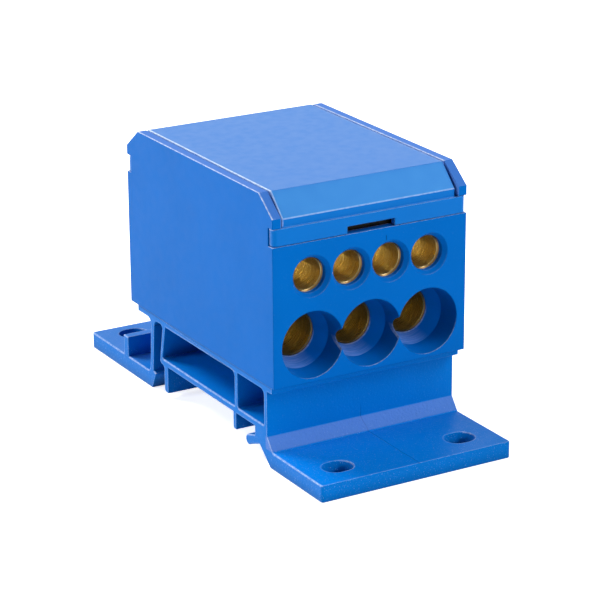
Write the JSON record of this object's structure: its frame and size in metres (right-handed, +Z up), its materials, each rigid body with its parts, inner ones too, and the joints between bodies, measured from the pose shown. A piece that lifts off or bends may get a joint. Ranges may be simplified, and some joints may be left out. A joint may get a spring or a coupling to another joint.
{
  "type": "power distribution block",
  "caption": "Power distribution block: brass block with rows of wire entries on each side, in a blue insulated housing with a clip-on lid, on a rail-mount base with screw feet.",
  "frame": {"origin": "Bottom centre of the footprint, on the plane of the feet.", "axes": "+X along the rows of entries, to the right as seen from the front; +Y from the front entries to the rear entries and the latch foot; +Z up through the lid."},
  "size_m": [0.036, 0.0812, 0.0455],
  "materials": {
    "base_plastic": "fine spark-eroded moulded texture, satin blue",
    "housing_plastic": "smooth satin moulded blue",
    "lid_plastic": "smooth satin moulded blue",
    "brass": "machined brass with drill marks in the bores",
    "screw_steel": "zinc-plated steel"
  },
  "bodies": {
    "block": {"base": "base_plastic", "housing": "housing_plastic", "terminal_block": "brass"},
    "lid": {"lid": "lid_plastic"},
    "clamp_screw_front_small_1": {"clamp_screw_front_small_1": "screw_steel"},
    "clamp_screw_front_small_2": {"clamp_screw_front_small_2": "screw_steel"},
    "clamp_screw_front_small_3": {"clamp_screw_front_small_3": "screw_steel"},
    "clamp_screw_front_small_4": {"clamp_screw_front_small_4": "screw_steel"},
    "clamp_screw_front_large_1": {"clamp_screw_front_large_1": "screw_steel"},
    "clamp_screw_front_large_2": {"clamp_screw_front_large_2": "screw_steel"},
    "clamp_screw_front_large_3": {"clamp_screw_front_large_3": "screw_steel"},
    "clamp_screw_rear_small_1": {"clamp_screw_rear_small_1": "screw_steel"},
    "clamp_screw_rear_small_2": {"clamp_screw_rear_small_2": "screw_steel"},
    "clamp_screw_rear_small_3": {"clamp_screw_rear_small_3": "screw_steel"},
    "clamp_screw_rear_small_4": {"clamp_screw_rear_small_4": "screw_steel"},
    "clamp_screw_rear_large_1": {"clamp_screw_rear_large_1": "screw_steel"},
    "clamp_screw_rear_large_2": {"clamp_screw_rear_large_2": "screw_steel"},
    "clamp_screw_rear_large_3": {"clamp_screw_rear_large_3": "screw_steel"}
  },
  "joints": [
    {"name": "lid_lift", "type": "slide", "parent": "block", "child": "lid", "axis": [0, 0, 1], "range_m": [0, 0.012]},
    {"name": "clamp_screw_front_small_1_travel", "type": "slide", "parent": "block", "child": "clamp_screw_front_small_1", "axis": [0, 0, -1], "range_m": [0, 0.0045]},
    {"name": "clamp_screw_front_small_2_travel", "type": "slide", "parent": "block", "child": "clamp_screw_front_small_2", "axis": [0, 0, -1], "range_m": [0, 0.0045]},
    {"name": "clamp_screw_front_small_3_travel", "type": "slide", "parent": "block", "child": "clamp_screw_front_small_3", "axis": [0, 0, -1], "range_m": [0, 0.0045]},
    {"name": "clamp_screw_front_small_4_travel", "type": "slide", "parent": "block", "child": "clamp_screw_front_small_4", "axis": [0, 0, -1], "range_m": [0, 0.0045]},
    {"name": "clamp_screw_front_large_1_travel", "type": "slide", "parent": "block", "child": "clamp_screw_front_large_1", "axis": [0, 0, -1], "range_m": [0, 0.0065]},
    {"name": "clamp_screw_front_large_2_travel", "type": "slide", "parent": "block", "child": "clamp_screw_front_large_2", "axis": [0, 0, -1], "range_m": [0, 0.0065]},
    {"name": "clamp_screw_front_large_3_travel", "type": "slide", "parent": "block", "child": "clamp_screw_front_large_3", "axis": [0, 0, -1], "range_m": [0, 0.0065]},
    {"name": "clamp_screw_rear_small_1_travel", "type": "slide", "parent": "block", "child": "clamp_screw_rear_small_1", "axis": [0, 0, -1], "range_m": [0, 0.0045]},
    {"name": "clamp_screw_rear_small_2_travel", "type": "slide", "parent": "block", "child": "clamp_screw_rear_small_2", "axis": [0, 0, -1], "range_m": [0, 0.0045]},
    {"name": "clamp_screw_rear_small_3_travel", "type": "slide", "parent": "block", "child": "clamp_screw_rear_small_3", "axis": [0, 0, -1], "range_m": [0, 0.0045]},
    {"name": "clamp_screw_rear_small_4_travel", "type": "slide", "parent": "block", "child": "clamp_screw_rear_small_4", "axis": [0, 0, -1], "range_m": [0, 0.0045]},
    {"name": "clamp_screw_rear_large_1_travel", "type": "slide", "parent": "block", "child": "clamp_screw_rear_large_1", "axis": [0, 0, -1], "range_m": [0, 0.0065]},
    {"name": "clamp_screw_rear_large_2_travel", "type": "slide", "parent": "block", "child": "clamp_screw_rear_large_2", "axis": [0, 0, -1], "range_m": [0, 0.0065]},
    {"name": "clamp_screw_rear_large_3_travel", "type": "slide", "parent": "block", "child": "clamp_screw_rear_large_3", "axis": [0, 0, -1], "range_m": [0, 0.0065]}
  ]
}
